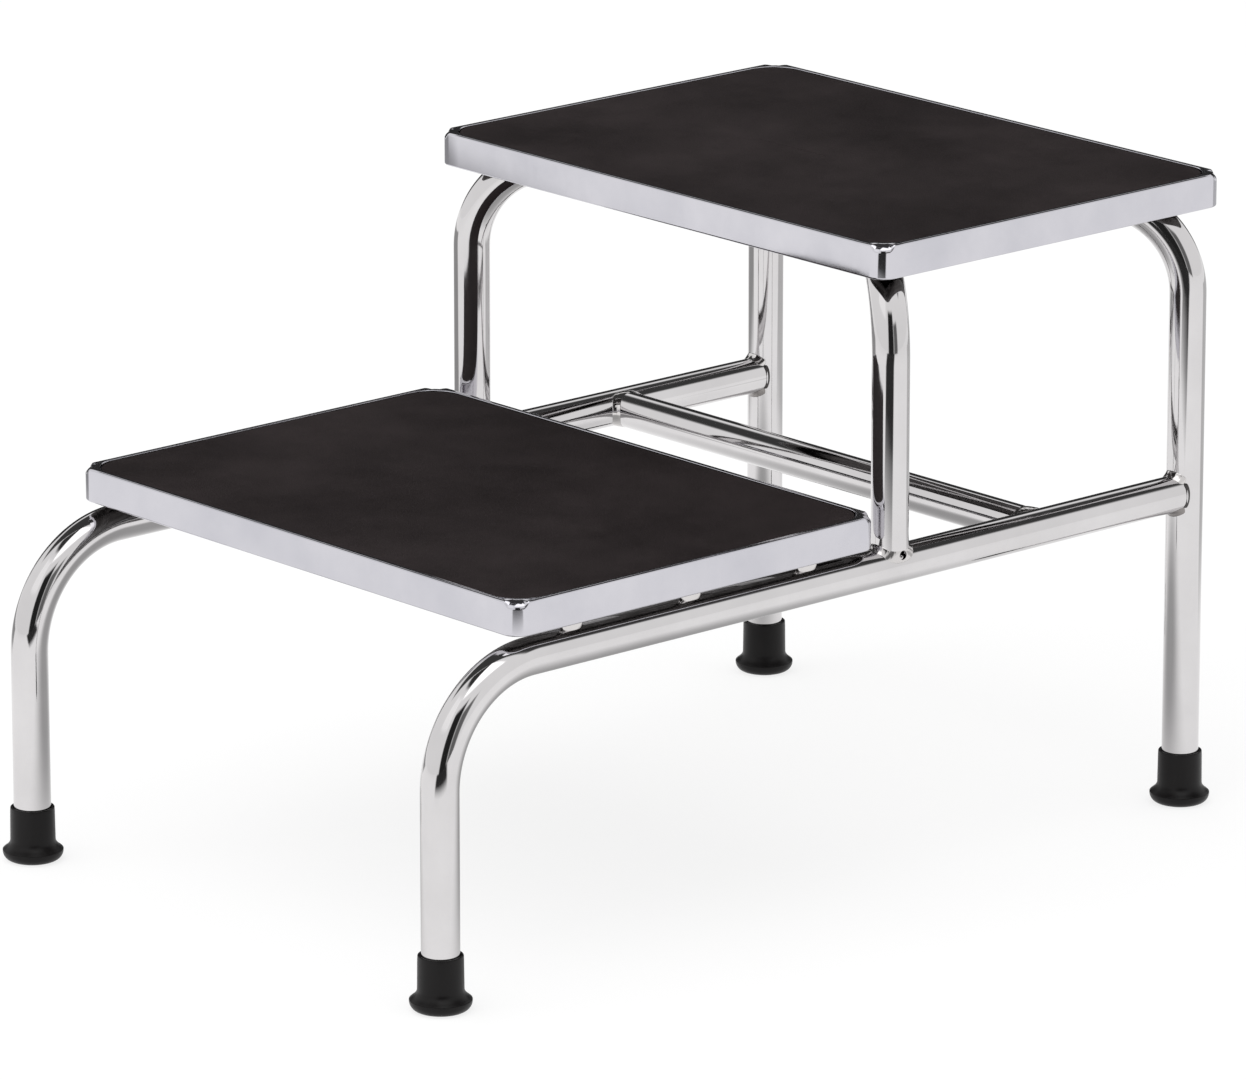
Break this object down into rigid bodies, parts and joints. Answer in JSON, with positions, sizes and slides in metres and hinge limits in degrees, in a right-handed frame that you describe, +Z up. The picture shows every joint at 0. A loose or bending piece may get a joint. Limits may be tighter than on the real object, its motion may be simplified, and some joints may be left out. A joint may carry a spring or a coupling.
{
  "type": "two-step stool",
  "caption": "Two-step stool: bent tube frame with crossed tubes under the upper step, pressed metal step pans with inset rubber mats, and flared rubber leg tips.",
  "frame": {"origin": "on the floor, at the middle of the footprint: the bottom centre of the bounding box", "axes": "+Z up; +Y from the lower step to the upper step, to the rear; +X to the right of a person climbing the stool"},
  "size_m": [0.406, 0.622, 0.3887],
  "materials": {
    "tube_chrome": "bright chrome plate on steel tube, near-mirror",
    "pan_chrome": "bright chrome plate on pressed steel sheet, faint satin haze",
    "mat_rubber": "matte brown-black rubber sheet with a fine mottle",
    "tip_rubber": "moulded black rubber, semi-matte",
    "plain_steel": "bare rolled steel, dull"
  },
  "bodies": {
    "root": {"side_tube_left": "tube_chrome", "side_tube_right": "tube_chrome", "crossbar": "tube_chrome", "upper_tube_long": "tube_chrome", "upper_tube_front_right": "tube_chrome", "upper_tube_rear_left": "tube_chrome", "lower_pan": "pan_chrome", "upper_pan": "pan_chrome", "lower_mat": "mat_rubber", "upper_mat": "mat_rubber", "lower_rib_front": "plain_steel", "lower_rib_rear": "plain_steel", "pan_lug_left_1": "tube_chrome", "pan_lug_left_2": "tube_chrome", "pan_lug_left_3": "tube_chrome", "pan_lug_right_1": "tube_chrome", "pan_lug_right_2": "tube_chrome", "pan_lug_right_3": "tube_chrome", "tip_front_left": "tip_rubber", "tip_washer_front_left": "plain_steel", "tip_front_right": "tip_rubber", "tip_washer_front_right": "plain_steel", "tip_rear_left": "tip_rubber", "tip_washer_rear_left": "plain_steel", "tip_rear_right": "tip_rubber", "tip_washer_rear_right": "plain_steel"}
  },
  "joints": []
}
